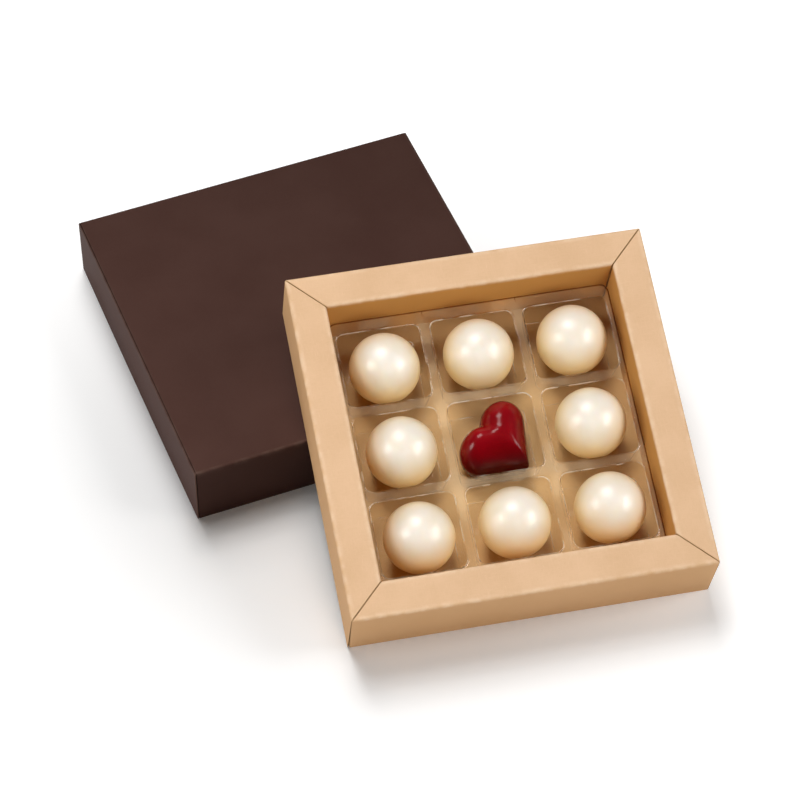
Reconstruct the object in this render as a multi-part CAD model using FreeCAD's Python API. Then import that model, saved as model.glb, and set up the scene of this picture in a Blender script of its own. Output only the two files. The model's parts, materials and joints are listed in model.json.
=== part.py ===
import FreeCAD, Part
import math
import os

# Open chocolate gift box in millimetres, +Z up: a dark card lid lies flat with its opening down,
# and a kraft base with its clear tray of bonbons leans back on the lid's front edge.
# The base's front edge runs along X. The origin is the middle of the footprint, on the table.

# Bonbons
pearl_diameter = 25.5
pearl_foot_depth = 0.5  # flat that a round bonbon stands on
pearl_front_gap = 0.4  # from a round bonbon to its cell's front edge, towards which it has rolled
heart_clearance = 0.5  # between the heart and the edge of its cell's floor, at the left, front and back
heart_height = 15.0
heart_round = 6.2  # shoulder of the heart's top
heart_foot_ease = 0.2  # how much rounder the heart's foot is than its cell's floor
heart_tip_ease = 0.1  # least that the heart's tip is rounder than its foot

# Clear tray
rows = ["front", "middle", "back"]
columns = ["left", "middle", "right"]
heart_cell = "middle_middle"
cell_side_room = 2.3  # from a round bonbon in the middle to the cell's mouth, left and right
cell_end_room = 1.45  # from a round bonbon in the middle to the cell's mouth, front and back
ridge_width = 4.2  # flat top between two cells
side_lip = 2.3  # flat top beside the outer columns
lip_corner = 3.0
tray_height = 13.0
tray_sheet = 0.4
cell_taper = 1.0  # how far each cell wall leans in from mouth to floor
cell_corner = 2.8
cell_floor_round = 1.2

# Kraft base with hollow walls
base_card = 0.6
rim_width = 12.8
tray_clearance = 0.5  # between the tray's lip and the inner wall, each side
headroom = 2.0  # from a round bonbon's top to the rim's plane
mitre_gap = 0.2  # open seam at the corners of the rim
base_tab_length = 14.0

# Dark lid
lid_card = 0.6
lid_clearance = 1.2  # between the lid's wall and the base's wall when the box is shut, each side
lid_height = 25.0
lid_tab_length = 16.0

# Card folds and glue tabs
fold_round = 0.5
fold_share = 0.9  # most of the card's thickness that a fold's round takes
tab_margin = 1.0  # how much shorter a tab is than its wall, at the top and at the bottom
tab_taper = 2.0  # how much a tab narrows towards its free end, at the top and at the bottom

# How the base lies on the lid
lean_reach = 74.8  # along the table, from the base's front edge to the lid's front edge
lid_showing = 42.6  # stretch of the lid's front edge that shows beside the base
lid_turn = 10.2  # degrees between the lid's front edge and the base's front edge
lean_gap = 0.05

# Sizes that follow
mouth_width = pearl_diameter + 2 * cell_side_room
mouth_depth = pearl_diameter + 2 * cell_end_room
column_pitch = mouth_width + ridge_width
row_pitch = mouth_depth + ridge_width
floor_width = mouth_width - 2 * cell_taper
floor_depth = mouth_depth - 2 * cell_taper
cell_floor_corner = cell_corner - cell_taper
tray_side = len(columns) * column_pitch - ridge_width + 2 * side_lip
cavity_side = tray_side + 2 * tray_clearance
base_side = cavity_side + 2 * rim_width
tray_level = base_card
seat_level = tray_level + tray_sheet
heart_span = floor_depth - 2 * heart_clearance
heart_foot_round = cell_floor_round + heart_foot_ease
heart_tip_round = max(heart_foot_round + heart_tip_ease, cell_floor_corner)
pearl_height = pearl_diameter - pearl_foot_depth
pearl_roll = cell_end_room - pearl_front_gap
base_height = seat_level + pearl_height + headroom
lid_side = base_side + 2 * (lid_clearance + lid_card)
lean_angle = math.degrees(math.atan2(lid_height + lean_gap, lean_reach))

level_tolerance = 1e-6  # for telling which edges lie at a level

X = FreeCAD.Vector(1, 0, 0)
Y = FreeCAD.Vector(0, 1, 0)
Z = FreeCAD.Vector(0, 0, 1)


def point(x, y, z=0.0):
    return FreeCAD.Vector(x, y, z)


def block(low, high):
    size = high.sub(low)
    return Part.makeBox(size.x, size.y, size.z, low)


def prism(corners, direction):
    outline = Part.makePolygon(corners + corners[:1])
    return Part.Face(outline).extrude(direction)


def rounded_rectangle(width, depth, corner, level):
    edges = []
    for turn in range(4):
        spin = FreeCAD.Rotation(Z, 90 * turn)
        out, along = (width / 2, depth / 2) if turn % 2 == 0 else (depth / 2, width / 2)
        flat_out, flat_along = out - corner, along - corner
        bow = corner * math.sqrt(0.5)
        start = spin.multVec(point(out, -flat_along, level))
        stop = spin.multVec(point(out, flat_along, level))
        corner_mid = spin.multVec(point(flat_out + bow, flat_along + bow, level))
        corner_end = spin.multVec(point(flat_out, along, level))
        edges.append(Part.LineSegment(start, stop).toShape())
        edges.append(Part.Arc(stop, corner_mid, corner_end).toShape())
    return Part.Wire(edges)


def turned(solid, degrees):
    solid.rotate(point(0, 0), Z, degrees)
    return solid


def mirrored(solid, normal):
    return solid.mirror(point(0, 0), normal)


def is_level(edge, level):
    return max(abs(edge.BoundBox.ZMin - level), abs(edge.BoundBox.ZMax - level)) < level_tolerance


def rounded_at(solid, radius, level, shortest=0.0):
    edges = [edge for edge in solid.Edges if is_level(edge, level) and edge.Length > shortest]
    return solid.makeFillet(radius, edges)


def glue_tab(corner, length, low, high, card):
    root_low = corner.add(point(0, 0, low))
    root_high = corner.add(point(0, 0, high))
    end_low = corner.add(point(length, 0, low + tab_taper))
    end_high = corner.add(point(length, 0, high - tab_taper))
    return prism([root_low, end_low, end_high, root_high], point(0, card, 0))


def corner_copies(name, make_tab):
    front_left = make_tab()
    back_left = mirrored(front_left, Y)
    return {name + "_front_left": front_left, name + "_front_right": mirrored(front_left, X),
            name + "_back_left": back_left, name + "_back_right": mirrored(back_left, X)}


# Lid, in its own frame: the opening's middle is at the origin and the opening faces down.

def lid_top_panel():
    half = lid_side / 2
    panel = block(point(-half, -half, lid_height - lid_card), point(half, half, lid_height))
    return rounded_at(panel, min(fold_round, fold_share * lid_card), lid_height)


def lid_end_wall(facing):
    half = lid_side / 2
    top = lid_height - lid_card
    wall = block(point(-half, -half, 0), point(half, -half + lid_card, top))
    return turned(wall, facing)


def lid_side_wall(facing):
    half = lid_side / 2
    top = lid_height - lid_card
    wall = block(point(-half + lid_card, -half, 0), point(half - lid_card, -half + lid_card, top))
    return turned(wall, facing)


def lid_tab():
    inside = -lid_side / 2 + lid_card
    high = lid_height - lid_card - tab_margin
    return glue_tab(point(inside, inside), lid_tab_length, tab_margin, high, lid_card)


# Base, in its own frame: it lies flat with its floor's middle at the origin.

def base_floor_panel():
    half = base_side / 2 - base_card
    return block(point(-half, -half, 0), point(half, half, base_card))


def frame_wall(facing):
    half = base_side / 2
    outer, inner = -half, -half + rim_width
    under_rim = base_height - base_card
    fold = [point(-half, outer, 0), point(-half, outer, base_height), point(-half, inner, base_height),
            point(-half, inner, base_card), point(-half, inner - base_card, base_card),
            point(-half, inner - base_card, under_rim), point(-half, outer + base_card, under_rim),
            point(-half, outer + base_card, 0)]
    strip = prism(fold, point(base_side, 0, 0))
    strip = rounded_at(strip, min(fold_round, fold_share * base_card), base_height, shortest=rim_width)
    outer_end = half - mitre_gap * math.sqrt(0.5)
    inner_end = outer_end - rim_width
    mitre_outline = [point(-outer_end, outer), point(outer_end, outer),
                     point(inner_end, inner), point(-inner_end, inner)]
    mitred = strip.common(prism(mitre_outline, point(0, 0, base_height)))
    return turned(mitred.Solids[0], facing)


def base_tab():
    inside = -base_side / 2 + base_card
    low, high = base_card + tab_margin, base_height - base_card - tab_margin
    return glue_tab(point(inside, inside), base_tab_length, low, high, base_card)


# Tray and bonbons, in the base's frame.

def cell_middle(row, column):
    across = (column - (len(columns) - 1) / 2) * column_pitch
    along = (row - (len(rows) - 1) / 2) * row_pitch
    return point(across, along)


def cell_cup(offset, floor, top):
    wider = 2 * offset
    mouth = rounded_rectangle(mouth_width + wider, mouth_depth + wider, cell_corner + offset, top)
    bottom = rounded_rectangle(floor_width + wider, floor_depth + wider, cell_floor_corner + offset, floor)
    cup = Part.makeLoft([bottom, mouth], True, True)
    return rounded_at(cup, cell_floor_round + offset, floor)


# The clear sheet's flat lip and ridges, with an opening for each cell.
def tray_lip():
    top = tray_level + tray_height
    outline = rounded_rectangle(tray_side, tray_side, lip_corner, top - tray_sheet)
    lip = Part.Face(outline).extrude(point(0, 0, tray_sheet))
    cup = cell_cup(tray_sheet, tray_level, top)
    middles = [cell_middle(row, column) for row in range(len(rows)) for column in range(len(columns))]
    return lip.cut([cup.translated(middle) for middle in middles]).Solids[0]


def tray_cell():
    top = tray_level + tray_height
    return cell_cup(tray_sheet, tray_level, top).cut(cell_cup(0.0, seat_level, top)).Solids[0]


def pearl_bonbon():
    radius = pearl_diameter / 2
    ball = Part.makeSphere(radius, point(0, 0, radius - pearl_foot_depth))
    above = block(point(-radius, -radius, 0), point(radius, radius, pearl_diameter))
    return ball.common(above).Solids[0].translated(point(0, -pearl_roll))


def heart_bonbon():
    half = heart_span / 3
    tip = heart_tip_round
    bow = half * math.sqrt(0.5)
    cut = tip * (1 - math.sqrt(0.5))
    cleft = point(-half, half)
    tip_start, tip_end = point(half - tip, -half), point(half, -half + tip)
    outline = [Part.LineSegment(point(-half, -half), tip_start).toShape(),
               Part.Arc(tip_start, point(half - cut, -half + cut), tip_end).toShape(),
               Part.LineSegment(tip_end, point(half, half)).toShape(),
               Part.Arc(point(half, half), point(bow, half + bow), point(0, 2 * half)).toShape(),
               Part.Arc(point(0, 2 * half), point(-bow, half + bow), cleft).toShape(),
               Part.Arc(cleft, point(-half - bow, bow), point(-2 * half, 0)).toShape(),
               Part.Arc(point(-2 * half, 0), point(-half - bow, -bow), point(-half, -half)).toShape()]
    body = Part.Face(Part.Wire(outline)).extrude(point(0, 0, heart_height))
    body = rounded_at(body, heart_round, heart_height)
    body = rounded_at(body, heart_foot_round, 0.0)
    return body.translated(point(2 * half + heart_clearance - floor_width / 2, -half / 2))


# Put the pieces together.

lid = {"lid_top_panel": lid_top_panel(),
       "lid_front_wall": lid_end_wall(0), "lid_right_wall": lid_side_wall(90),
       "lid_back_wall": lid_end_wall(180), "lid_left_wall": lid_side_wall(270)}
lid.update(corner_copies("lid_tab", lid_tab))

base = {"base_floor_panel": base_floor_panel(),
        "front_frame_wall": frame_wall(0), "right_frame_wall": frame_wall(90),
        "back_frame_wall": frame_wall(180), "left_frame_wall": frame_wall(270)}
base.update(corner_copies("base_tab", base_tab))
base["tray_lip"] = tray_lip()
for row, row_name in enumerate(rows):
    for column, column_name in enumerate(columns):
        cell = row_name + "_" + column_name
        middle = cell_middle(row, column)
        seat = middle.add(point(0, 0, seat_level))
        base["tray_cell_" + cell] = tray_cell().translated(middle)
        if cell == heart_cell:
            base["heart_bonbon"] = heart_bonbon().translated(seat)
        else:
            base["pearl_bonbon_" + cell] = pearl_bonbon().translated(seat)

# The base stands on its front edge and leans back until its left edge lies on the lid's front edge.
lean = FreeCAD.Rotation(X, lean_angle)
base_place = FreeCAD.Placement(lean.multVec(point(0, base_side / 2)), lean)
turn = FreeCAD.Rotation(Z, lid_turn)
meeting = point(-base_side / 2, lean_reach)
lid_middle = meeting.add(turn.multVec(point(lid_side / 2 - lid_showing, lid_side / 2)))
lid_place = FreeCAD.Placement(lid_middle, turn)

for pieces, place in ((base, base_place), (lid, lid_place)):
    for piece in pieces.values():
        piece.Placement = place.multiply(piece.Placement)

box = Part.makeCompound(list(base.values()) + list(lid.values()))
extent = box.optimalBoundingBox(False, False)
to_middle = point(-extent.Center.x, -extent.Center.y)

os.makedirs("parts", exist_ok=True)
for name, piece in {**lid, **base}.items():
    piece.translate(to_middle)
    piece.exportStep("parts/" + name + ".step")

print("lean in degrees:", round(lean_angle, 4))
print("overall size:", round(extent.XLength, 3), round(extent.YLength, 3), round(extent.ZLength, 3))
print("base floor's middle:", base_place.Base.add(to_middle))
print("lid opening's middle:", lid_place.Base.add(to_middle))
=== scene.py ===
import bmesh
import bpy
import json
import math
from mathutils import Matrix, Vector, noise

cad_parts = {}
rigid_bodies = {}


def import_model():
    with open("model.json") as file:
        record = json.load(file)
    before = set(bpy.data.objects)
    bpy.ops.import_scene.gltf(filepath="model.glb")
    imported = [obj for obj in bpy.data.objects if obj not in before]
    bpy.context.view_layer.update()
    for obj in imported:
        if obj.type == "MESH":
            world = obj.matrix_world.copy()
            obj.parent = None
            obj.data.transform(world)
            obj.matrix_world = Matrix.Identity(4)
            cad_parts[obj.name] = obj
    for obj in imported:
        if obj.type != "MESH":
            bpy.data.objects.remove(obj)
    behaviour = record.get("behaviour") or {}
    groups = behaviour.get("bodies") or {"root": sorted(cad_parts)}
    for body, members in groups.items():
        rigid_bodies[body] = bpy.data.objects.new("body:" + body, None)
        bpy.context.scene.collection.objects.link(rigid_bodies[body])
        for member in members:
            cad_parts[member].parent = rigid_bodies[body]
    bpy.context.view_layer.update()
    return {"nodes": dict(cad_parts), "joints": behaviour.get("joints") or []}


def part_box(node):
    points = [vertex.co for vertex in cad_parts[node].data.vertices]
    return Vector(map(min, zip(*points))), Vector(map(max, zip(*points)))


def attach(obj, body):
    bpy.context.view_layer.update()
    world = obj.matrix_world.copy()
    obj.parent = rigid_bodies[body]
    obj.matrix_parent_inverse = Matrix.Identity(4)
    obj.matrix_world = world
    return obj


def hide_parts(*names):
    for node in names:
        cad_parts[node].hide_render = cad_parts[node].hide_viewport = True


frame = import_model()
scene = bpy.context.scene
nodes = frame["nodes"]
mm = 0.001
print("frame loaded:", len(nodes), "nodes")


# places of the two cartons, read from the frame

places = {"card": 0.6, "lidTurn": 10.2}


def middleOf(node):
    low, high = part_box(node)
    return (low + high) / 2


def boxPlace():
    lift = next(joint for joint in frame["joints"] if joint["name"] == "tray_lift")
    up = Vector(lift["axis"]).normalized()
    right = Vector((1, 0, 0))
    axes = Matrix((right, up.cross(right), up)).transposed().to_4x4()
    underFloor = middleOf("base_floor_panel") - up * places["card"] * mm / 2
    return Matrix.Translation(underFloor) @ axes


def lidPlace():
    middle = middleOf("lid_top_panel")
    turn = Matrix.Rotation(math.radians(places["lidTurn"]), 4, "Z")
    return Matrix.Translation((middle.x, middle.y, 0)) @ turn


boxFrame = boxPlace()
lidFrame = lidPlace()


# mesh helpers, all in millimetres in a carton's own frame

meshLimits = {"merge": 1e-6, "sliver": 1e-7, "sharpAngle": 38.0}


def newPiece(name, points, faces, place, materials, marks, sharpAngle=None, faceSlots=None):
    mesh = bpy.data.meshes.new(name)
    mesh.from_pydata([Vector(point) * mm for point in points], [], faces)
    if faceSlots:
        mesh.polygons.foreach_set("material_index", faceSlots)
    work = bmesh.new()
    work.from_mesh(mesh)
    for mark, values in marks.items():
        layer = work.verts.layers.float.new(mark)
        for vert, value in zip(work.verts, values):
            vert[layer] = value
    bmesh.ops.remove_doubles(work, verts=work.verts, dist=meshLimits["merge"])
    bmesh.ops.dissolve_degenerate(work, edges=work.edges, dist=meshLimits["sliver"])
    bmesh.ops.recalc_face_normals(work, faces=work.faces)
    for face in work.faces:
        face.smooth = True
    sharp = math.radians(sharpAngle or meshLimits["sharpAngle"])
    for edge in work.edges:
        edge.smooth = len(edge.link_faces) == 2 and edge.calc_face_angle() < sharp
    work.to_mesh(mesh)
    work.free()
    for material in materials:
        mesh.materials.append(material)
    piece = bpy.data.objects.new(name, mesh)
    scene.collection.objects.link(piece)
    piece.matrix_world = place
    return piece


def finishPiece(piece, body, slot, *replaced):
    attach(piece, body)
    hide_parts(*replaced)


def stripFaces(rings, perRing):
    faces = []
    for ring in range(rings - 1):
        for step in range(perRing):
            near = ring * perRing + step
            far = ring * perRing + (step + 1) % perRing
            faces.append((near, far, far + perRing, near + perRing))
    return faces


def roundCorner(before, corner, after, radius, steps):
    toBefore = (Vector(before) - Vector(corner)).normalized()
    toAfter = (Vector(after) - Vector(corner)).normalized()
    halfAngle = toBefore.angle(toAfter) / 2
    reach = radius / math.tan(halfAngle)
    centre = Vector(corner) + (toBefore + toAfter).normalized() * radius / math.sin(halfAngle)
    start = Vector(corner) + toBefore * reach - centre
    end = Vector(corner) + toAfter * reach - centre
    sweep = start.angle(end)
    arc = []
    for step in range(steps + 1):
        share = step / steps
        blend = start * math.sin((1 - share) * sweep) + end * math.sin(share * sweep)
        arc.append(centre + blend / math.sin(sweep))
    return arc


def smoothStep(low, high, value):
    share = min(1.0, max(0.0, (value - low) / (high - low)))
    return share * share * (3 - 2 * share)


# shader helpers

def setInputs(node, values):
    for name, value in values.items():
        node.inputs[name].default_value = value
    return node


def joinUp(tree, source, target):
    tree.links.new(source, target)


def newGroup(name, inputs, outputs):
    group = bpy.data.node_groups.new(name, "ShaderNodeTree")
    for label, value in inputs.items():
        socket = group.interface.new_socket(label, in_out="INPUT", socket_type="NodeSocketFloat")
        socket.default_value = value
    for label in outputs:
        group.interface.new_socket(label, in_out="OUTPUT", socket_type="NodeSocketFloat")
    return group, group.nodes.new("NodeGroupInput"), group.nodes.new("NodeGroupOutput")


def useGroup(tree, group, values):
    node = tree.nodes.new("ShaderNodeGroup")
    node.node_tree = group
    return setInputs(node, values)


def objectCoords(tree):
    return tree.nodes.new("ShaderNodeTexCoord").outputs["Object"]


def markValue(tree, mark):
    attribute = tree.nodes.new("ShaderNodeAttribute")
    attribute.attribute_name = mark
    return attribute.outputs["Fac"]


def mathNode(tree, operation, first, second):
    node = tree.nodes.new("ShaderNodeMath")
    node.operation = operation
    for socket, value in zip(node.inputs, (first, second)):
        if isinstance(value, (int, float)):
            socket.default_value = value
        else:
            joinUp(tree, value, socket)
    return node.outputs[0]


def weightedSum(tree, first, firstShare, second, secondShare):
    firstPart = mathNode(tree, "MULTIPLY", first, firstShare)
    secondPart = mathNode(tree, "MULTIPLY", second, secondShare)
    return mathNode(tree, "ADD", firstPart, secondPart)


def mixColour(tree, factor, first, second):
    node = tree.nodes.new("ShaderNodeMix")
    node.data_type = "RGBA"
    for name, kind, value in (("Factor", "VALUE", factor), ("A", "RGBA", first), ("B", "RGBA", second)):
        socket = next(s for s in node.inputs if s.name == name and s.type == kind)
        if isinstance(value, bpy.types.NodeSocket):
            joinUp(tree, value, socket)
        else:
            socket.default_value = (*value, 1.0)
    return next(s for s in node.outputs if s.type == "RGBA")


def rampNode(tree, value, fromReach=(0.0, 1.0), toReach=(0.0, 1.0), smooth=True):
    node = tree.nodes.new("ShaderNodeMapRange")
    if smooth:
        node.interpolation_type = "SMOOTHSTEP"
    names = ("From Min", "From Max", "To Min", "To Max")
    setInputs(node, dict(zip(names, (*fromReach, *toReach))))
    joinUp(tree, value, node.inputs["Value"])
    return node.outputs["Result"]


def scaledNoise(tree, scale, detail, roughness=0.5):
    mapping = tree.nodes.new("ShaderNodeMapping")
    setInputs(mapping, {"Scale": scale if isinstance(scale, tuple) else (scale,) * 3})
    joinUp(tree, objectCoords(tree), mapping.inputs["Vector"])
    cloud = tree.nodes.new("ShaderNodeTexNoise")
    setInputs(cloud, {"Scale": 1.0, "Detail": detail, "Roughness": roughness})
    joinUp(tree, mapping.outputs["Vector"], cloud.inputs["Vector"])
    return cloud.outputs["Fac"]


def newMaterial(name):
    material = bpy.data.materials.new(name)
    material.use_nodes = True
    tree = material.node_tree
    tree.nodes.clear()
    shader = tree.nodes.new("ShaderNodeBsdfPrincipled")
    output = tree.nodes.new("ShaderNodeOutputMaterial")
    joinUp(tree, shader.outputs["BSDF"], output.inputs["Surface"])
    return material, tree, shader


def addBump(tree, shader, height, strength, distance):
    bump = tree.nodes.new("ShaderNodeBump")
    setInputs(bump, {"Strength": strength, "Distance": distance})
    joinUp(tree, height, bump.inputs["Height"])
    joinUp(tree, bump.outputs["Normal"], shader.inputs["Normal"])


# paper: long fibres both ways, short dark and pale flecks, a slow change of tone

paper = {"slow": 38, "fibresX": (420, 3600, 3600), "fibresY": (3600, 420, 3600), "fibreRough": 0.6,
         "tooth": 5200, "slowInTone": 0.6, "fibresInTone": 0.4, "toneReach": (0.28, 0.72),
         "fibresInHeight": 0.6, "toothInHeight": 0.4, "bumpDepth": 0.00012,
         "fleckStart": 0.78, "fleckSpan": 0.16, "fleckSharp": 14.0}


def paperGroup(settings):
    outputs = ["Tone", "Dark Fleck", "Pale Fleck", "Height"]
    group, given, out = newGroup("paperGrain", {"Fleck Share": 0.5}, outputs)
    slow = scaledNoise(group, settings["slow"], detail=3.0)
    alongX = scaledNoise(group, settings["fibresX"], detail=3.0, roughness=settings["fibreRough"])
    alongY = scaledNoise(group, settings["fibresY"], detail=3.0, roughness=settings["fibreRough"])
    tooth = scaledNoise(group, settings["tooth"], detail=2.0)
    fibres = mathNode(group, "MAXIMUM", alongX, alongY)
    tone = weightedSum(group, slow, settings["slowInTone"], fibres, settings["fibresInTone"])
    lower = mathNode(group, "MULTIPLY", given.outputs["Fleck Share"], settings["fleckSpan"])
    start = mathNode(group, "SUBTRACT", settings["fleckStart"], lower)
    for label, source in (("Dark Fleck", alongX), ("Pale Fleck", alongY)):
        over = mathNode(group, "SUBTRACT", source, start)
        mask = mathNode(group, "MULTIPLY", over, settings["fleckSharp"])
        mask.node.use_clamp = True
        joinUp(group, mask, out.inputs[label])
    height = weightedSum(group, fibres, settings["fibresInHeight"], tooth, settings["toothInHeight"])
    joinUp(group, rampNode(group, tone, settings["toneReach"]), out.inputs["Tone"])
    joinUp(group, height, out.inputs["Height"])
    return group


# wear on folds, the core that shows on cut edges, and painted shade, from marks kept on the mesh

wear = {"patchScale": 260, "patchReach": (0.3, 0.75)}


def edgeAndShadeGroup(settings):
    group, given, out = newGroup("cardEdges", {"Rub": 0.5}, ["Fold", "Cut", "Lining"])
    cloud = scaledNoise(group, settings["patchScale"], detail=4.0)
    patchy = rampNode(group, cloud, settings["patchReach"])
    for label, mark in (("Fold", "foldMark"), ("Cut", "cutMark"), ("Lining", "liningMark")):
        shown = markValue(group, mark)
        if label == "Fold":
            rubbed = mathNode(group, "MULTIPLY", shown, given.outputs["Rub"])
            shown = mathNode(group, "MULTIPLY", rubbed, patchy)
        joinUp(group, shown, out.inputs[label])
    return group


# moulded chocolate: fine dust, faint handling marks, shallow dimples

candy = {"slow": 120, "toneReach": (0.3, 0.7), "fine": 5200, "speckReach": (0.6, 0.72),
         "smear": (160, 420, 300), "smearRough": 0.6, "smearReach": (0.45, 0.75), "dimple": 360,
         "fineInHeight": 0.05, "bumpDepth": 0.0004, "bleed": (0.004, 0.0024, 0.0012)}


def candyGroup(settings):
    group, given, out = newGroup("candySkin", {"Dust": 0.5}, ["Tone", "Dust", "Smear", "Height"])
    slow = scaledNoise(group, settings["slow"], detail=3.0)
    fine = scaledNoise(group, settings["fine"], detail=1.0)
    smear = scaledNoise(group, settings["smear"], detail=4.0, roughness=settings["smearRough"])
    dimple = scaledNoise(group, settings["dimple"], detail=2.0)
    joinUp(group, rampNode(group, slow, settings["toneReach"]), out.inputs["Tone"])
    speck = rampNode(group, fine, settings["speckReach"])
    joinUp(group, mathNode(group, "MULTIPLY", speck, given.outputs["Dust"]), out.inputs["Dust"])
    joinUp(group, rampNode(group, smear, settings["smearReach"]), out.inputs["Smear"])
    grit = mathNode(group, "MULTIPLY", fine, settings["fineInHeight"])
    joinUp(group, mathNode(group, "ADD", dimple, grit), out.inputs["Height"])
    return group


paperGrain = paperGroup(paper)
cardEdges = edgeAndShadeGroup(wear)
candySkin = candyGroup(candy)


cardFinishes = {
    "kraft": {
        "deep": (0.60, 0.385, 0.222), "pale": (0.69, 0.46, 0.285), "fleckDark": (0.38, 0.22, 0.10),
        "fleckPale": (0.77, 0.58, 0.40), "foldColour": (0.77, 0.58, 0.40),
        "cutColour": (0.44, 0.255, 0.115), "cardShadeColour": (0.55, 0.27, 0.072), "fleckShare": 0.45,
        "fleckMix": 0.30, "rub": 0.55, "rough": (0.68, 0.82), "bumpStrength": 0.22, "specular": 0.25},
    "kraftInside": {
        "deep": (0.56, 0.350, 0.152), "pale": (0.63, 0.415, 0.200), "fleckDark": (0.43, 0.26, 0.12),
        "fleckPale": (0.78, 0.61, 0.42), "foldColour": (0.77, 0.58, 0.40),
        "cutColour": (0.44, 0.255, 0.115), "cardShadeColour": (0.55, 0.27, 0.072), "fleckShare": 0.5,
        "fleckMix": 0.30, "rub": 0.4, "rough": (0.72, 0.86), "bumpStrength": 0.25, "specular": 0.2},
    "lidBrown": {
        "deep": (0.056, 0.0265, 0.0210), "pale": (0.067, 0.0335, 0.0268),
        "fleckDark": (0.024, 0.0105, 0.0078), "fleckPale": (0.070, 0.040, 0.031),
        "foldColour": (0.095, 0.057, 0.045), "cutColour": (0.14, 0.083, 0.060),
        "cardShadeColour": (0.009, 0.0045, 0.0035), "fleckShare": 0.35, "fleckMix": 0.35, "rub": 0.7,
        "rough": (0.50, 0.58), "bumpStrength": 0.18, "specular": 0.04},
}


def cardMaterial(name, finish):
    material, tree, shader = newMaterial(name)
    grain = useGroup(tree, paperGrain, {"Fleck Share": finish["fleckShare"]})
    edges = useGroup(tree, cardEdges, {"Rub": finish["rub"]})
    colour = mixColour(tree, grain.outputs["Tone"], finish["deep"], finish["pale"])
    for label, key in (("Dark Fleck", "fleckDark"), ("Pale Fleck", "fleckPale")):
        share = mathNode(tree, "MULTIPLY", grain.outputs[label], finish["fleckMix"])
        colour = mixColour(tree, share, colour, finish[key])
    # painted shade: the kraft walls' inner faces fully and their outer faces in part, the lid's seam grooves
    # and one fold crease
    for label, key in (("Lining", "cardShadeColour"), ("Fold", "foldColour"), ("Cut", "cutColour")):
        colour = mixColour(tree, edges.outputs[label], colour, finish[key])
    joinUp(tree, colour, shader.inputs["Base Color"])
    rough = rampNode(tree, grain.outputs["Tone"], toReach=finish["rough"], smooth=False)
    joinUp(tree, rough, shader.inputs["Roughness"])
    setInputs(shader, {"Specular IOR Level": finish["specular"]})
    addBump(tree, shader, grain.outputs["Height"], finish["bumpStrength"], paper["bumpDepth"])
    return material


kraftCard = cardMaterial("kraftCard", cardFinishes["kraft"])
kraftLining = cardMaterial("kraftLining", cardFinishes["kraftInside"])
lidCard = cardMaterial("lidCard", cardFinishes["lidBrown"])


clearFinish = {"tint": (0.992, 0.985, 0.975), "lipShadeTint": (0.36, 0.21, 0.095), "rough": 0.04, "ior": 1.015,
               "coat": 0.7, "coatRough": 0.12, "coatIor": 1.45, "lampTint": (0.985, 0.98, 0.97),
               "ripple": 0.12, "rippleScale": 210, "rippleDepth": 0.0006}
hazeAndSheenFinish = {"colour": (0.93, 0.74, 0.50), "rough": 0.22, "shown": (0.04, 0.12), "patchScale": 90,
              "patchReach": (0.36, 0.66), "lampTint": (0.96, 0.95, 0.93)}
bendGlintFinish = {"colour": (0.98, 0.87, 0.70), "rough": 0.10, "shown": (0.0, 0.48), "patchScale": 160,
              "patchReach": (0.36, 0.66), "lampTint": (0.92, 0.90, 0.87)}


def letLampsThrough(tree, shader, tint):
    lampThrough = tree.nodes.new("ShaderNodeBsdfTransparent")
    setInputs(lampThrough, {"Color": (*tint, 1.0)})
    path = tree.nodes.new("ShaderNodeLightPath")
    either = mathNode(tree, "MAXIMUM", path.outputs["Is Shadow Ray"], path.outputs["Is Diffuse Ray"])
    blend = tree.nodes.new("ShaderNodeMixShader")
    joinUp(tree, either, blend.inputs["Fac"])
    joinUp(tree, shader.outputs["BSDF"], blend.inputs[1])
    joinUp(tree, lampThrough.outputs["BSDF"], blend.inputs[2])
    output = next(node for node in tree.nodes if node.type == "OUTPUT_MATERIAL")
    joinUp(tree, blend.outputs["Shader"], output.inputs["Surface"])


# the sheet is too thin to bend what lies under it, so its gloss is a coat and its body hardly refracts
def clearMaterial(name, finish):
    material, tree, shader = newMaterial(name)
    # a painted shadow line: the sheet's outer edge is tinted dark brown where it meets the kraft walls
    colour = mixColour(tree, markValue(tree, "lipMark"), finish["tint"], finish["lipShadeTint"])
    joinUp(tree, colour, shader.inputs["Base Color"])
    setInputs(shader, {"Roughness": finish["rough"], "IOR": finish["ior"], "Transmission Weight": 1.0,
                       "Coat Weight": finish["coat"], "Coat IOR": finish["coatIor"],
                       "Coat Roughness": finish["coatRough"]})
    waves = scaledNoise(tree, finish["rippleScale"], detail=2.0)
    addBump(tree, shader, waves, finish["ripple"], finish["rippleDepth"])
    letLampsThrough(tree, shader, finish["lampTint"])
    return material


# a paler sheet in patches: faint haze on the flat lip and the tops between cells, partly a painted sheen, and
# painted highlight lines on the bends
def hazeAndGlintMaterial(name, finish):
    material, tree, shader = newMaterial(name)
    setInputs(shader, {"Base Color": (*finish["colour"], 1.0), "Roughness": finish["rough"]})
    patches = rampNode(tree, scaledNoise(tree, finish["patchScale"], detail=3.0), finish["patchReach"])
    shown = rampNode(tree, patches, toReach=finish["shown"], smooth=False)
    joinUp(tree, shown, shader.inputs["Alpha"])
    letLampsThrough(tree, shader, finish["lampTint"])
    return material


clearSheet = clearMaterial("clearSheet", clearFinish)
hazyLip = hazeAndGlintMaterial("hazyLip", hazeAndSheenFinish)
paleBend = hazeAndGlintMaterial("paleBend", bendGlintFinish)


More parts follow.
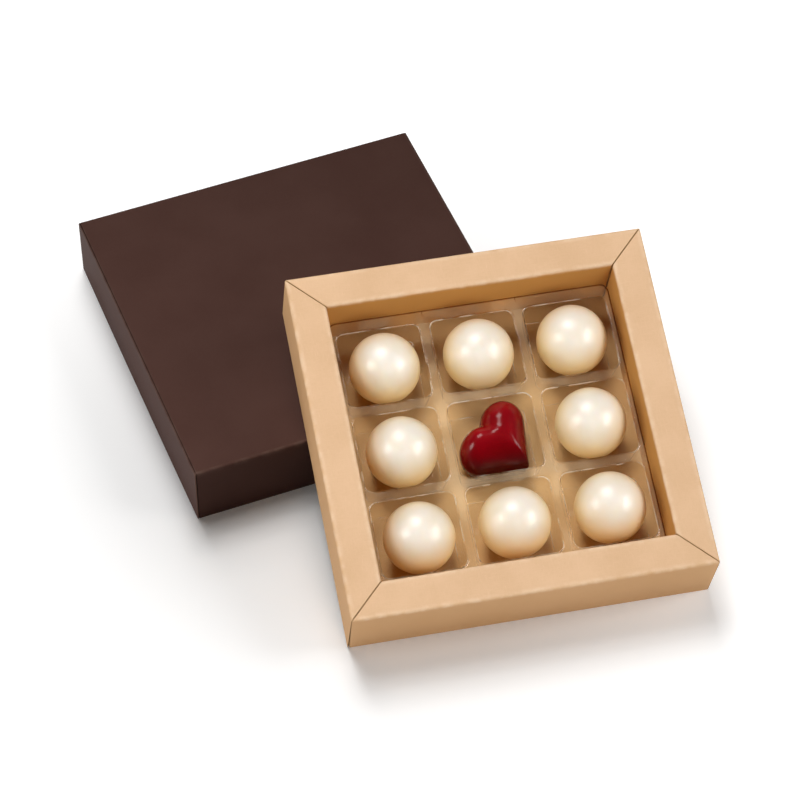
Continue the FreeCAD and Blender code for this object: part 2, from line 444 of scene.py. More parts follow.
candyFinishes = {
    "pearl": {
        "deep": (0.965, 0.865, 0.74), "pale": (0.98, 0.91, 0.83), "blush": (0.97, 0.845, 0.765),
        "blushMix": 0.15, "candyShadeColour": (0.985, 0.715, 0.315), "dustColour": (0.97, 0.93, 0.85),
        "dust": 0.25, "rough": 0.37, "smearRough": 0.04, "specular": 0.9, "coat": 0.85, "coatRough": 0.36,
        "bump": 0.012, "subsurface": 0.15},
    "heart": {
        "deep": (0.240, 0.0010, 0.0044), "pale": (0.320, 0.0015, 0.0070), "blush": (0.34, 0.006, 0.003),
        "blushMix": 0.3, "candyShadeColour": (0.075, 0.0010, 0.0006), "dustColour": (0.34, 0.016, 0.016),
        "dust": 0.04, "rough": 0.17, "smearRough": 0.03, "specular": 0.26, "coat": 0.0, "coatRough": 0.1,
        "bump": 0.02, "subsurface": 0.0},
}


def candyMaterial(name, finish):
    material, tree, shader = newMaterial(name)
    skin = useGroup(tree, candySkin, {"Dust": finish["dust"]})
    colour = mixColour(tree, skin.outputs["Tone"], finish["deep"], finish["pale"])
    blush = mathNode(tree, "MULTIPLY", skin.outputs["Smear"], finish["blushMix"])
    colour = mixColour(tree, blush, colour, finish["blush"])
    # painted light low on the bonbons: warm painted bounce light and shade on a pearl's lower part, painted
    # shade on the heart's front and lower sides
    colour = mixColour(tree, markValue(tree, "footMark"), colour, finish["candyShadeColour"])
    colour = mixColour(tree, skin.outputs["Dust"], colour, finish["dustColour"])
    joinUp(tree, colour, shader.inputs["Base Color"])
    rough = mathNode(tree, "MULTIPLY", skin.outputs["Smear"], finish["smearRough"])
    joinUp(tree, mathNode(tree, "ADD", rough, finish["rough"]), shader.inputs["Roughness"])
    setInputs(shader, {"Specular IOR Level": finish["specular"], "Coat Weight": finish["coat"],
                       "Coat Roughness": finish["coatRough"], "Subsurface Weight": finish["subsurface"],
                       "Subsurface Radius": candy["bleed"], "Subsurface Scale": 1.0})
    addBump(tree, shader, skin.outputs["Height"], finish["bump"], candy["bumpDepth"])
    return material


pearlShell = candyMaterial("pearlShell", candyFinishes["pearl"])
heartShell = candyMaterial("heartShell", candyFinishes["heart"])
print("materials made:", len(bpy.data.materials))


# kraft base: each wall is outer wall, rim and inner wall in one fold, mitred at both ends

frameWall = {"side": 129.9, "height": 28.0, "rim": 12.8, "card": places["card"], "fold": 0.85,
             "foldSteps": 6, "tightFold": 0.25, "tightSteps": 2, "flatFrom": 2.0, "lowShares": (0, 0.3, 0.6),
             "innerShadeReach": (0.4, 1.2), "outsideShade": 0.45, "seam": 0.24, "frontLeftOpen": 0.45,
             "endRound": 0.10, "endReach": 0.35, "lengthSteps": 40, "bow": 0.16, "rimDip": 0.10,
             "dipAbove": 0.9}


def wallProfile(size):
    # across the wall: place, fold mark, and painted shade mark, which darkens the outer wall in part and the
    # inner wall and underside fully
    height, rim, card = size["height"], size["rim"], size["card"]
    radius, steps, flat, tan = size["fold"], size["foldSteps"], size["flatFrom"], size["outsideShade"]
    outerTop, innerTop = (0, height), (rim, height)
    underOuter, underInner = (card, height - card), (rim - card, height - card)
    # painted shade: part of it on the outer wall, fading out over the outer fold, and all of it on the inner
    # wall, coming in over the inner fold
    path = [((0, height * share), 0, tan) for share in size["lowShares"]]
    path.append(((0, height - flat), 0, tan))
    outer = roundCorner((0, 0), outerTop, innerTop, radius, steps)
    path += [(spot, 1, tan * (1 - step / steps)) for step, spot in enumerate(outer)]
    path += [((across, height), 0, 0) for across in (flat, rim / 2, rim - flat)]
    inner = roundCorner(outerTop, innerTop, (rim, 0), radius, steps)
    path += [(spot, 1, smoothStep(*size["innerShadeReach"], step / steps)) for step, spot in enumerate(inner)]
    path += [((rim, level), 0, 1) for level in (height - flat, height / 2, card)]
    path.append(((rim - card, card), 0, 1))
    hidden = roundCorner((rim - card, 0), underInner, underOuter, size["tightFold"], size["tightSteps"])
    hidden += roundCorner(underInner, underOuter, (card, 0), size["tightFold"], size["tightSteps"])
    path += [(spot, 0, 1) for spot in hidden]
    path.append(((card, 0), 0, 1))
    return [(Vector((spot[0], spot[1])), fold, wallShade) for spot, fold, wallShade in path]


def profileNormals(points):
    normals = []
    for step, point in enumerate(points):
        way = points[(step + 1) % len(points)] - points[step - 1]
        normals.append(Vector((-way.y, way.x)).normalized())
    return normals


def wallPiece(name, facing, size):
    profile = wallProfile(size)
    normals = profileNormals([point for point, fold, wallShade in profile])
    half = size["side"] / 2
    steps = [-1 + 2 * step / size["lengthSteps"] for step in range(size["lengthSteps"] + 1)]
    turn = Matrix.Rotation(math.radians(facing), 3, "Z")
    points, folds, cuts, wallShades = [], [], [], []
    # along the wall: share of the length, distance from the end, and whether the cut end's edge is rounded
    rings = [(-1, 0.0, 1), (-1, size["endReach"], 0)]
    rings += [(share, None, 0) for share in steps[1:-1]]
    rings += [(1, size["endReach"], 0), (1, 0.0, 1)]
    for share, fromEnd, rounded in rings:
        for (point, fold, wallShade), normal in zip(profile, normals):
            inward, up = point - normal * size["endRound"] * rounded
            end = half - point.x - size["seam"] * math.sqrt(0.5)
            if name == "front_wall" and share < 0:
                outer = 1 - point.x / size["rim"]
                end -= size["frontLeftOpen"] * outer * (1 - point.y / size["height"])
            along = share * end if fromEnd is None else share * (end - fromEnd)
            arch = 1 - (along / half) ** 2
            level = up / size["height"]
            if point.x < size["rim"] / 2:
                inward -= size["bow"] * arch * math.sin(math.pi * min(1.0, level))
            if level > size["dipAbove"]:
                up -= size["rimDip"] * arch * math.sin(math.pi * point.x / size["rim"])
            points.append(turn @ Vector((along, inward - half, up)))
            folds.append(fold)
            cuts.append(rounded)
            wallShades.append(wallShade)
    count = len(profile)
    faces = stripFaces(len(rings), count)
    faces += [tuple(range(count)), tuple(range((len(rings) - 1) * count, len(rings) * count))]
    marks = {"foldMark": folds, "cutMark": cuts, "liningMark": wallShades}
    return newPiece(name, points, faces, boxFrame, [kraftCard], marks)


for facing, side in ((0, "front"), (90, "right"), (180, "back"), (270, "left")):
    wall = wallPiece(side + "_wall", facing, frameWall)
    finishPiece(wall, "base", "kraft_card", side + "_frame_wall")
print("kraft walls folded")


# dark lid: one folded blank, the front and back panels' cut ends show beside the corners

lidBlank = {"side": 133.5, "height": 25.0, "card": places["card"], "fold": 0.8, "foldSteps": 6,
            "corner": 0.4, "leastCorner": 0.02, "cornerSteps": 4, "cornerFold": 0.6, "cornerCut": 0.35,
            "stripCut": 0.6, "stripFrom": 0.01, "seamWide": 0.50, "seamDeep": 0.45, "seamClear": 1.0,
            "creaseShade": 0.8, "creaseSide": 3, "creaseSteps": (4, 5), "sideSteps": 30, "bow": 0.18,
            "topSag": 0.30, "wallLevels": [0.12, 2.0, 7.0, 13.0, 19.0, 22.5], "bottomRound": 0.10,
            "topShares": [0.995, 0.97, 0.9, 0.75, 0.55, 0.35, 0.15]}


def lidLoop(size, inset, grooveShare):
    # one loop of the outline: spot, side, corner's fold mark, cut mark beside a corner, and painted shade in
    # the seam grooves
    half = size["side"] / 2 - inset
    corner = max(size["leastCorner"], size["corner"] - inset)
    flat = half - corner
    seam = size["side"] / 2 - size["card"]
    wide = size["seamWide"] / 2
    even = [-flat + 2 * flat * step / size["sideSteps"] for step in range(1, size["sideSteps"])]
    even = [along for along in even if abs(along) < seam - size["seamClear"]]
    across = ((wide, 0), (0, 1), (-wide, 0))
    grooves = [(sign * (seam + shift), depth) for sign in (-1, 1) for shift, depth in across]
    loop = []
    for side in range(4):
        turn = Matrix.Rotation(math.radians(90 * side), 2)
        grooved = side % 2 == 0
        stops = [(along, 0) for along in [-flat] + even + [flat]]
        stops += [(min(flat, max(-flat, along)), depth if grooved else 0) for along, depth in grooves]
        for along, depth in sorted(stops):
            strip = size["stripCut"] if grooved and abs(along) > seam + size["stripFrom"] else 0.0
            spot = turn @ Vector((along, -half + depth * size["seamDeep"] * grooveShare))
            loop.append((spot, side, 0.0, strip, depth * grooveShare))
        for step in range(1, size["cornerSteps"]):
            angle = math.radians(-90 + 90 * step / size["cornerSteps"])
            spot = turn @ Vector((flat + corner * math.cos(angle), -flat + corner * math.sin(angle)))
            loop.append((spot, side, size["cornerFold"], size["cornerCut"], 0.0))
    return loop


def lidPiece(size):
    half, height, card = size["side"] / 2, size["height"], size["card"]
    points, folds, cuts, grooveShades = [], [], [], []

    def addLoop(loop, level, share=1.0, fold=None, cut=None, crease=0.0):
        sag = size["topSag"] * (1 - share * share)
        for spot, side, cornerFold, strip, grooveShade in loop:
            across = min(abs(spot.x), abs(spot.y)) / half
            push = size["bow"] * (1 - across ** 2) * (1 - (level / height) ** 2)
            spread = share * (1 + push / max(abs(spot.x), abs(spot.y)))
            # the fold crease on the left side is painted dark, a painted shade, and has no fold rub
            creased = crease if side == size["creaseSide"] else 0.0
            points.append((spot.x * spread, spot.y * spread, level - sag))
            folds.append((cornerFold if fold is None else fold) * (1 - creased))
            cuts.append(strip if cut is None else cut)
            grooveShades.append(max(grooveShade, creased * size["creaseShade"]))

    outside, inside = lidLoop(size, 0.0, 1.0), lidLoop(size, card, 0.0)
    for share in reversed(size["topShares"]):
        addLoop(lidLoop(size, size["fold"], 0.0), height, share, fold=0.0, cut=0.0)
    for step in range(size["foldSteps"], -1, -1):
        angle = math.radians(90 * step / size["foldSteps"])
        loop = lidLoop(size, size["fold"] * (1 - math.cos(angle)), 1 - step / size["foldSteps"])
        level = height - size["fold"] * (1 - math.sin(angle))
        addLoop(loop, level, fold=1.0, crease=float(step in size["creaseSteps"]))
    for level in reversed(size["wallLevels"]):
        addLoop(outside, level)
    addLoop(lidLoop(size, size["bottomRound"], 1.0), 0.0, cut=1.0)
    addLoop(inside, 0.0, fold=0.0, cut=1.0)
    for level in size["wallLevels"] + [height - card]:
        addLoop(inside, level, fold=0.0, cut=0.0)
    for share in size["topShares"]:
        addLoop(inside, height - card, share, fold=0.0, cut=0.0)
    count = len(outside)
    faces = stripFaces(len(points) // count, count)
    faces += [tuple(range(count)), tuple(range(len(points) - count, len(points)))]
    marks = {"foldMark": folds, "cutMark": cuts, "liningMark": grooveShades}
    return newPiece("lid_blank", points, faces, lidFrame, [lidCard], marks)


panelNames = ("top_panel", "front_wall", "right_wall", "back_wall", "left_wall")
finishPiece(lidPiece(lidBlank), "lid", "lid_card", *["lid_" + panel for panel in panelNames])
print("lid folded")


# clear tray: one formed sheet, nine cells with rounded mouths and floors

traySheet = {"columnPitch": 34.3, "rowPitch": 32.6, "mouthWide": 30.1, "mouthLong": 28.4, "taper": 1.0,
             "corner": 2.8, "leastCorner": 0.6, "top": 13.6, "seat": 1.0, "sheet": 0.4, "side": 103.3,
             "lipCorner": 3.0, "lipEdge": 0.45, "lipTurn": 0.35, "lipShadeSpan": 1.1, "onLip": 2.0,
             "mouthRound": 0.8, "floorRound": 1.2, "roundSteps": 8, "sideSteps": 12, "cornerSteps": 8,
             "floorShifts": (-4.5, -9.0), "wallShares": (0.3, 0.5, 0.7), "glintSpread": 1, "sharpAngle": 60.0}


def cellLoop(halfWide, halfLong, corner, size):
    loop = []
    for side in range(4):
        turn = Matrix.Rotation(math.radians(90 * side), 2)
        out, along = (halfWide, halfLong) if side % 2 == 0 else (halfLong, halfWide)
        for step in range(size["sideSteps"]):
            loop.append(turn @ Vector((out, (along - corner) * (2 * step / size["sideSteps"] - 1))))
        for step in range(size["cornerSteps"]):
            angle = math.radians(90 * step / size["cornerSteps"])
            far = out - corner + corner * math.cos(angle)
            ahead = along - corner + corner * math.sin(angle)
            loop.append(turn @ Vector((far, ahead)))
    return loop


def tileLoop(size, reach):
    # reach: how far the tile goes to +x, +y, -x and -y from its cell's middle
    halves = (size["mouthWide"] / 2 - size["corner"], size["mouthLong"] / 2 - size["corner"])
    loop = []
    for side in range(4):
        turn = Matrix.Rotation(math.radians(90 * side), 2)
        out, ahead = reach[side], reach[(side + 1) % 4]
        flatOut, flatAhead = halves[side % 2], halves[1 - side % 2]
        for step in range(size["sideSteps"]):
            loop.append(turn @ Vector((out, flatAhead * (2 * step / size["sideSteps"] - 1))))
        for step in range(size["cornerSteps"]):
            angle = math.radians(90 * step / size["cornerSteps"])
            if angle <= math.pi / 4:
                spot = Vector((out, flatAhead + (ahead - flatAhead) * math.tan(angle)))
            else:
                spot = Vector((flatOut + (out - flatOut) / math.tan(angle), ahead))
            loop.append(turn @ spot)
    return loop


def cellProfile(size):
    # down a cell's wall: shift from the mouth, level, and whether a painted highlight line of a bend starts
    # here
    lip, edge = Vector((size["onLip"], size["top"])), Vector((0, size["top"]))
    foot, inside = Vector((-size["taper"], size["seat"])), Vector((size["floorShifts"][-1], size["seat"]))
    middle = size["roundSteps"] // 2
    mouth = roundCorner(lip, edge, foot, size["mouthRound"], size["roundSteps"])
    path = [(spot, abs(step - middle) <= size["glintSpread"]) for step, spot in enumerate(mouth)]
    path += [(edge.lerp(foot, share), False) for share in size["wallShares"]]
    bottom = roundCorner(edge, foot, inside, size["floorRound"], size["roundSteps"])
    path += [(spot, step == middle) for step, spot in enumerate(bottom)]
    return path + [(Vector((shift, size["seat"])), False) for shift in size["floorShifts"]]


def lipSpot(spot, edge, size):
    # rounds the sheet's outer corners; its very edge turns down, and carries a painted shadow line
    limit = edge - size["lipCorner"]
    if abs(spot.x) > limit and abs(spot.y) > limit:
        centre = Vector((math.copysign(limit, spot.x), math.copysign(limit, spot.y)))
        off = spot - centre
        spot = centre + off.normalized() * max(abs(off.x), abs(off.y))
        inward = size["lipCorner"] - (spot - centre).length
    else:
        inward = edge - max(abs(spot.x), abs(spot.y))
    turned = size["lipTurn"] if inward < size["lipEdge"] / 2 else 0.0
    return (spot.x, spot.y, size["top"] - turned), float(inward < size["lipShadeSpan"] * size["lipEdge"])


def cellTile(size, row, column):
    edge, strip = size["side"] / 2, size["lipEdge"]
    middle = Vector((column * size["columnPitch"], row * size["rowPitch"]))
    ways = ((column, "columnPitch"), (row, "rowPitch"), (-column, "columnPitch"), (-row, "rowPitch"))
    reach = [edge - size[pitch] if way == 1 else size[pitch] / 2 for way, pitch in ways]
    inner = [far - (strip if way == 1 else strip / 2) for far, (way, pitch) in zip(reach, ways)]
    points, marks, slots = [], [], []
    outer = tileLoop(size, reach)
    for loop in (outer, tileLoop(size, inner)):
        for spot in loop:
            place, mark = lipSpot(middle + spot, edge, size)
            points.append(place)
            marks.append(mark)
            slots.append(0 if mark and loop is outer else 1)
    for (shift, level), pale in cellProfile(size):
        corner = max(size["leastCorner"], size["corner"] + shift)
        loop = cellLoop(size["mouthWide"] / 2 + shift, size["mouthLong"] / 2 + shift, corner, size)
        points += [(middle.x + spot.x, middle.y + spot.y, level) for spot in loop]
        marks += [0.0] * len(loop)
        slots += [2 if pale else 0] * len(loop)
    count = len(loop)
    faces = stripFaces(len(points) // count, count)
    last = len(points) - count
    points.append((middle.x, middle.y, size["seat"]))
    marks.append(0.0)
    faces += [(last + step, last + (step + 1) % count, last + count) for step in range(count)]
    return points, marks, faces, slots[:len(faces)]


def trayPiece(size):
    points, marks, faces, slots = [], [], [], []
    for row in (-1, 0, 1):
        for column in (-1, 0, 1):
            tilePoints, tileMarks, tileFaces, tileSlots = cellTile(size, row, column)
            faces += [tuple(len(points) + index for index in face) for face in tileFaces]
            points += tilePoints
            marks += tileMarks
            slots += tileSlots
    tray = newPiece("clear_tray", points, faces, boxFrame, [clearSheet, hazyLip, paleBend],
                    {"lipMark": marks}, size["sharpAngle"], slots)
    if sum(face.normal.z * face.area for face in tray.data.polygons) < 0:
        tray.data.flip_normals()
    thick = tray.modifiers.new("sheet", "SOLIDIFY")
    thick.thickness = size["sheet"] * mm
    thick.offset = -1.0
    return tray


trayNodes = [name for name in nodes if name.startswith("tray_")]
finishPiece(trayPiece(traySheet), "tray", "clear_tray", *trayNodes)
print("tray formed")


# round bonbons: turned shells on a small flat foot, each a little uneven

pearl = {"radius": 12.75, "foot": 0.5, "footShares": (0.5, 0.9), "roll": 1.05, "around": 96, "rings": 56,
         "uneven": 0.05, "unevenReach": (0.0, 3.0), "lumps": 0.16, "lumpSeed": (3.1, 1.7, 5.0),
         "candyShadeReach": (11.5, 27.0), "sharpAngle": 70.0}


def pearlPiece(cell, middle, size):
    radius, centre = size["radius"], size["radius"] - size["foot"]
    lowest = -math.asin(centre / radius)
    footWide = radius * math.cos(lowest)
    seedX, seedY, seedZ = size["lumpSeed"]
    seed = Vector((middle.x * seedX, middle.y * seedY, seedZ))
    points = [(middle.x, middle.y, traySheet["seat"])]
    levels = [lowest + (math.pi / 2 - lowest) * step / size["rings"] for step in range(size["rings"])]
    rings = [(footWide * share, 0.0) for share in size["footShares"]]
    rings += [(radius * math.cos(a), centre + radius * math.sin(a)) for a in levels[1:]]
    for wide, up in rings:
        for step in range(size["around"]):
            angle = 2 * math.pi * step / size["around"]
            spot = Vector((wide * math.cos(angle), wide * math.sin(angle), up - centre))
            lump = noise.noise(spot * size["lumps"] + seed)
            push = size["uneven"] * lump * smoothStep(*size["unevenReach"], up)
            spot *= 1 + push / radius
            points.append((middle.x + spot.x, middle.y + spot.y, traySheet["seat"] + centre + spot.z))
    count = size["around"]
    faces = [(0, 1 + step, 1 + (step + 1) % count) for step in range(count)]
    faces += [tuple(1 + index for index in face) for face in stripFaces(len(rings), count)]
    points.append((middle.x, middle.y, traySheet["seat"] + centre + radius))
    last = 1 + (len(rings) - 1) * count
    faces += [(last + step, last + (step + 1) % count, len(points) - 1) for step in range(count)]
    # painted warm bounce light and shade, full low on the pearl and fading out towards its top
    candyShades = [1 - smoothStep(*size["candyShadeReach"], point[2] - traySheet["seat"]) for point in points]
    marks = {"footMark": candyShades}
    return newPiece("pearl_" + cell, points, faces, boxFrame, [pearlShell], marks, size["sharpAngle"])


cellRows = {"front": -1, "middle": 0, "back": 1}
cellColumns = {"left": -1, "middle": 0, "right": 1}
for row, along in cellRows.items():
    for column, across in cellColumns.items():
        if row == "middle" and column == "middle":
            continue
        cell = row + "_" + column
        middle = Vector((across * traySheet["columnPitch"], along * traySheet["rowPitch"] - pearl["roll"]))
        bonbon = pearlPiece(cell, middle, pearl)
        finishPiece(bonbon, "pearl_" + cell, "pearl_shell", "pearl_bonbon_" + cell)
print("round bonbons turned")


# heart: two arched arms that meet at the tip, a valley in from the cleft and a ridge out to the tip

heart = {"span": 25.6, "narrow": 0.955, "shallow": 1.05, "slant": 0.10, "height": 16.4, "widest": 7.8,
         "footInset": 3.4, "sideSteps": 12, "around": 240, "topRings": 48, "ringPower": 1.8, "archPower": 2.0,
         "crestLeft": 0.5, "crestBack": 3.0, "valleySoft": 0.22, "ridgeSoft": 0.10, "softFrom": 0.25,
         "tipRound": 1.8, "setLeft": 1.45, "setBack": 0.0, "candyShadeReach": (0.30, 1.0), "backShadeShare": 0.45,
         "sharpAngle": 60.0}


def heartRadius(angle, half, tipRound):
    # from the square's middle to the outline: two straight sides at the front and right, two half rounds
    way = Vector((math.cos(angle), math.sin(angle)))
    turned = math.degrees(angle) % 360
    if 225 < turned or turned < 45:
        tip = Vector((half - tipRound, tipRound - half))
        nearer, further = min(way.x, -way.y), max(way.x, -way.y)
        if nearer > 0 and nearer / further > (half - tipRound) / half:
            along = way.dot(tip)
            return along + math.sqrt(along * along - tip.length_squared + tipRound * tipRound)
        return half / further
    centre = Vector((0, half)) if turned <= 135 else Vector((-half, 0))
    along = way.dot(centre)
    return along + math.sqrt(max(0.0, along * along - centre.length_squared + half * half))


def heartRise(spot, half, size):
    # share of the crown's height: each arm arches across its own width, and ends in a dome
    def arch(off):
        return max(0.0, 1 - (abs(off) / half) ** size["archPower"]) ** (1 / size["archPower"])

    def fromCrest(off, lean):
        return off + lean * (1 - off.length_squared / half ** 2)

    crestX, crestY = Vector((size["crestLeft"], 0)), Vector((0, -size["crestBack"]))
    if spot.y > half:
        return arch(fromCrest(spot - Vector((0, half)), crestX).length)
    if spot.x < -half:
        return arch(fromCrest(spot - Vector((-half, 0)), crestY).length)
    offX, offY = fromCrest(Vector((spot.x, 0)), crestX).x, fromCrest(Vector((0, spot.y)), crestY).y
    upright, level = arch(offX), arch(offY)
    if offX >= 0 and offY >= 0:
        return upright
    if offX <= 0 and offY <= 0:
        return level
    inTip = offX > 0
    soft = size["ridgeSoft"] if inTip else size["valleySoft"]
    near = min(1.0, min(abs(offX), abs(offY)) / half / size["softFrom"])
    blend = max(0.0, 1 - abs(upright - level) / soft) ** 2 * soft / 4 * near
    return min(upright, level) - blend if inTip else max(upright, level) + blend


def heartPiece(size):
    half = size["span"] / 3
    angles = [math.radians(-45 + 360 * step / size["around"]) for step in range(size["around"])]
    outline = [Vector((math.cos(a), math.sin(a))) * heartRadius(a, half, size["tipRound"]) for a in angles]
    widest, crown = size["widest"], size["height"] - size["widest"]
    rings = []
    for step in range(size["sideSteps"]):
        rise = math.radians(90 * step / size["sideSteps"])
        share = 1 - size["footInset"] / half * (1 - math.sin(rise)) / math.sqrt(2)
        rings.append([(spot * share, widest * (1 - math.cos(rise))) for spot in outline])
    for step in range(size["topRings"] + 1):
        share = 1 - (step / size["topRings"]) ** size["ringPower"]
        ring = [spot * share for spot in outline]
        rings.append([(spot, widest + crown * heartRise(spot, half, size)) for spot in ring])
    shift = Vector((half / 2 * size["narrow"] - size["setLeft"], size["setBack"] - half / 2))
    points, candyShades = [], []
    for ring in rings:
        for spot, level in ring:
            across = spot.x * size["narrow"] + spot.y * size["slant"]
            points.append((across + shift.x, spot.y * size["shallow"] + shift.y, traySheet["seat"] + level))
            # painted shade on the heart's front and lower sides, weaker towards the back
            facing = size["backShadeShare"] + (1 - size["backShadeShare"]) * smoothStep(0.0, half, -spot.y)
            candyShades.append(facing * (1 - smoothStep(*size["candyShadeReach"], (level - widest) / crown)))
    count = size["around"]
    faces = stripFaces(len(rings), count) + [tuple(range(count))]
    return newPiece("heart", points, faces, boxFrame, [heartShell], {"footMark": candyShades}, size["sharpAngle"])


finishPiece(heartPiece(heart), "heart", "heart_shell", "heart_bonbon")
print("heart moulded")


# CAD panels that stay: floor and glue tabs

stays = {"base_floor_panel": kraftLining, "base_tab": kraftLining, "lid_tab": lidCard}
for name, node in nodes.items():
    for start, material in stays.items():
        if name.startswith(start):
            node.data.materials.clear()
            node.data.materials.append(material)
print("floor and tabs finished")


# studio: white sweep, painted darker close to the object, a backdrop that darkens to the ceiling and the
# front, soft boxes on all sides
# some boxes light one kind of piece only, or leave some out, and most aren't mirrored in gloss

studio = {"floorColour": (0.90, 0.905, 0.915), "floorRough": 0.9, "floorGloss": 0.1, "floorReach": 6.0,
          "glow": (0.05, 0.34), "glowReach": (0.07, 0.17), "fadeReach": (0.25, 0.9), "worldFill": 0.17,
          "frontShade": 0.22, "shadeReach": (-0.75, -0.10), "ceiling": 0.12, "ceilingReach": (0.05, 0.50),
          "lampColour": (1.0, 0.988, 0.97), "lampAim": (0, 0, 0.015), "lightSteps": 32}
lamps = [
    {"name": "overhead", "toward": (-0.14, 0.27, 0.953), "away": 1.3, "wide": 0.49, "watts": 6.1},
    {"name": "backTop", "toward": (-0.05, 0.66, 0.75), "away": 1.3, "wide": 0.60, "watts": 4.8,
     "mirrored": False, "keptOff": ["lid_", "pearl_"]},
    {"name": "leftSide", "toward": (-0.766, -0.150, 0.625), "away": 0.55, "wide": 0.18, "watts": 0.82,
     "keptOff": ["floor"]},
    {"name": "leftLow", "toward": (-0.970, -0.100, 0.220), "away": 1.2, "wide": 0.40, "watts": 2.7,
     "mirrored": False, "keptOff": ["floor", "heart", "lid_"]},
    {"name": "rightSide", "toward": (0.744, -0.259, 0.617), "away": 1.1, "wide": 0.41, "watts": 3.8},
    {"name": "frontTop", "toward": (0.080, -0.750, 0.656), "away": 1.4, "wide": 0.80, "watts": 4.9,
     "colour": (1.0, 0.99, 0.98), "mirrored": False, "keptOff": ["floor", "lid_", "heart", "base_floor"]},
    {"name": "frontLow", "toward": (0.200, -0.955, 0.220), "away": 1.4, "wide": 0.50, "watts": 5.0,
     "colour": (1.0, 0.99, 0.98), "mirrored": False,
     "keptOff": ["floor", "lid_", "heart", "pearl_", "base_floor"]},
    {"name": "pearlRight", "toward": (0.671, -0.526, 0.522), "away": 1.2, "wide": 0.22, "watts": 2.2,
     "onlyOn": ["pearl_"]},
    {"name": "lidNear", "toward": (-0.716, -0.139, 0.684), "away": 0.395, "wide": 0.16, "watts": 0.80,
     "colour": (1.0, 0.988, 0.98), "mirrored": False, "onlyOn": ["lid_"]},
    {"name": "trayKey", "toward": (-0.10, 0.35, 0.930), "away": 1.3, "wide": 0.50, "watts": 6.2,
     "mirrored": False, "onlyOn": ["base_floor"]},
    {"name": "floorKey", "toward": (-0.05, 0.50, 0.865), "away": 1.3, "wide": 0.45, "watts": 4.4,
     "mirrored": False, "onlyOn": ["floor"]},
]


def placeAway(holder, target, settings):
    toward = Vector(settings["toward"]).normalized()
    holder.location = target + toward * settings["away"]
    holder.rotation_euler = (-toward).to_track_quat("-Z", "Y").to_euler()


def seenDirectly(tree):
    path = tree.nodes.new("ShaderNodeLightPath")
    seen = mathNode(tree, "MAXIMUM", path.outputs["Is Camera Ray"], path.outputs["Is Glossy Ray"])
    return mathNode(tree, "MAXIMUM", seen, path.outputs["Is Transmission Ray"])


def makeFloor(settings):
    material, tree, shader = newMaterial("sweep")
    setInputs(shader, {"Base Color": (*settings["floorColour"], 1.0), "Roughness": settings["floorRough"],
                       "Specular IOR Level": settings["floorGloss"], "Emission Color": (1, 1, 1, 1)})
    away = tree.nodes.new("ShaderNodeVectorMath")
    away.operation = "LENGTH"
    joinUp(tree, objectCoords(tree), away.inputs[0])
    # the sweep's glow is weak close to the object and full farther out, so the floor near it is painted
    # darker, a painted shade, and the far floor white
    spread = rampNode(tree, away.outputs["Value"], settings["glowReach"], settings["glow"])
    faded = rampNode(tree, away.outputs["Value"], settings["fadeReach"])
    glow = mathNode(tree, "MULTIPLY", seenDirectly(tree), mathNode(tree, "MAXIMUM", spread, faded))
    joinUp(tree, glow, shader.inputs["Emission Strength"])
    reach = settings["floorReach"]
    corners = [(-reach, -reach, 0), (reach, -reach, 0), (reach, reach, 0), (-reach, reach, 0)]
    mesh = bpy.data.meshes.new("floor")
    mesh.from_pydata(corners, [], [(0, 1, 2, 3)])
    mesh.materials.append(material)
    floor = bpy.data.objects.new("floor", mesh)
    scene.collection.objects.link(floor)


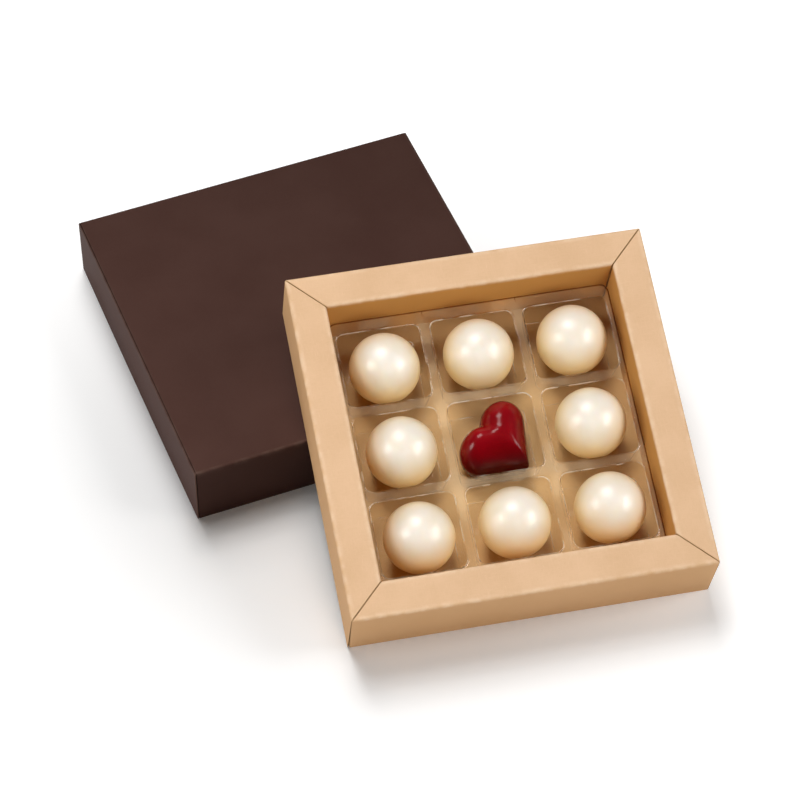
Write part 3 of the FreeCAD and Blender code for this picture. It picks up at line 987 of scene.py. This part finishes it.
def makeWorld(settings):
    world = bpy.data.worlds.new("studioWorld")
    world.use_nodes = True
    tree = world.node_tree
    tree.nodes.clear()
    background = tree.nodes.new("ShaderNodeBackground")
    output = tree.nodes.new("ShaderNodeOutputWorld")
    way = tree.nodes.new("ShaderNodeSeparateXYZ")
    joinUp(tree, tree.nodes.new("ShaderNodeTexCoord").outputs["Generated"], way.inputs["Vector"])
    backdrop = rampNode(tree, way.outputs["Z"], settings["ceilingReach"], (1.0, settings["ceiling"]))
    front = rampNode(tree, way.outputs["Y"], settings["shadeReach"], (settings["frontShade"], 1.0))
    strength = rampNode(tree, seenDirectly(tree), toReach=(settings["worldFill"], 1.0), smooth=False)
    joinUp(tree, front, strength.node.inputs["To Max"])
    lit = mathNode(tree, "MULTIPLY", backdrop, strength)
    inView = tree.nodes.new("ShaderNodeLightPath").outputs["Is Camera Ray"]
    joinUp(tree, mathNode(tree, "MAXIMUM", lit, inView), background.inputs["Strength"])
    setInputs(background, {"Color": (1, 1, 1, 1)})
    joinUp(tree, background.outputs["Background"], output.inputs["Surface"])
    scene.world = world


def makeLamp(settings, target):
    lamp = bpy.data.lights.new(settings["name"], "AREA")
    lamp.shape = "SQUARE"
    lamp.size = settings["wide"]
    lamp.energy = settings["watts"]
    lamp.color = settings.get("colour", studio["lampColour"])
    holder = bpy.data.objects.new(settings["name"], lamp)
    scene.collection.objects.link(holder)
    holder.visible_glossy = settings.get("mirrored", True)
    for key, state in (("keptOff", "EXCLUDE"), ("onlyOn", "INCLUDE")):
        if key not in settings:
            continue
        flag = bpy.data.collections.new(settings["name"] + "Flag")
        for thing in bpy.data.objects:
            if thing.type == "MESH" and thing.name.startswith(tuple(settings[key])):
                flag.objects.link(thing)
        for member in flag.collection_objects:
            member.light_linking.link_state = state
        holder.light_linking.receiver_collection = flag
    placeAway(holder, target, settings)


makeFloor(studio)
makeWorld(studio)
for settings in lamps:
    makeLamp(settings, boxFrame @ Vector(studio["lampAim"]))
# from the side the tray's walls stand one behind the other, and light has to get through them all
scene.cycles.max_bounces = studio["lightSteps"]
scene.cycles.transmission_bounces = studio["lightSteps"]
scene.cycles.transparent_max_bounces = studio["lightSteps"]
print("studio lit")


# camera at the photograph's place, long lens

view = {"target": (0.00844, 0.00169, 0.0), "toward": (-0.12995, -0.64277, 0.75496), "away": 1.2118,
        "lens": 146.9, "sensor": 36.0, "clip": (0.05, 30.0)}


def makeCamera(settings):
    camera = bpy.data.cameras.new("camera")
    camera.lens = settings["lens"]
    camera.sensor_width = settings["sensor"]
    camera.clip_start, camera.clip_end = settings["clip"]
    holder = bpy.data.objects.new("camera", camera)
    scene.collection.objects.link(holder)
    placeAway(holder, Vector(settings["target"]), settings)
    scene.camera = holder


makeCamera(view)
scene.view_settings.view_transform = "Standard"
print("camera set")
